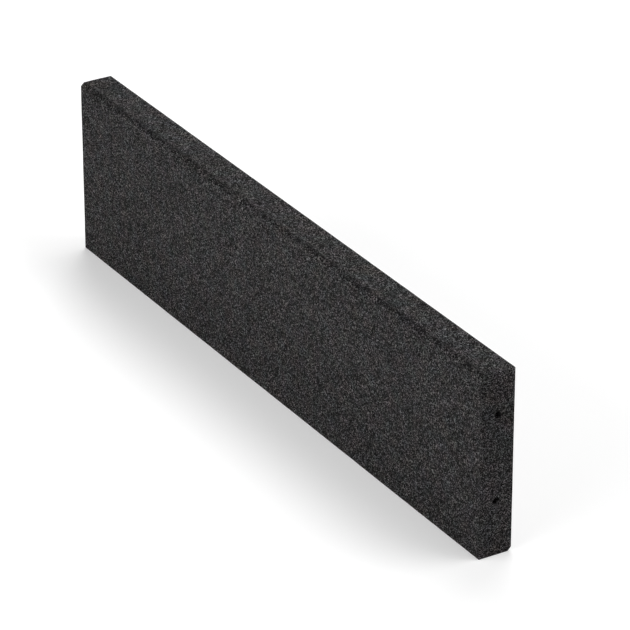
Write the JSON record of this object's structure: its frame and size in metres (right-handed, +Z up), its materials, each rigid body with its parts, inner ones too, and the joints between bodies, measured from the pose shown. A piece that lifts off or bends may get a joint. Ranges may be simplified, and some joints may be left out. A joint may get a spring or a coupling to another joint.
{
  "type": "rubber kerb",
  "caption": "Straight rubber granulate kerb with chamfered long edges and blind dowel holes in its ends, for edging surfaces, paths and lawns.",
  "frame": {"origin": "at floor level, in the middle of the kerb's length and thickness", "axes": "+X along the kerb, +Y from its front, the face with the chamfer at its top, to its back, +Z up"},
  "size_m": [1, 0.047, 0.25],
  "materials": {
    "rubber_granulate": "matt bonded rubber granulate, dark charcoal, with a fine open grain"
  },
  "bodies": {
    "root": {"kerb_block": "rubber_granulate"}
  },
  "joints": []
}
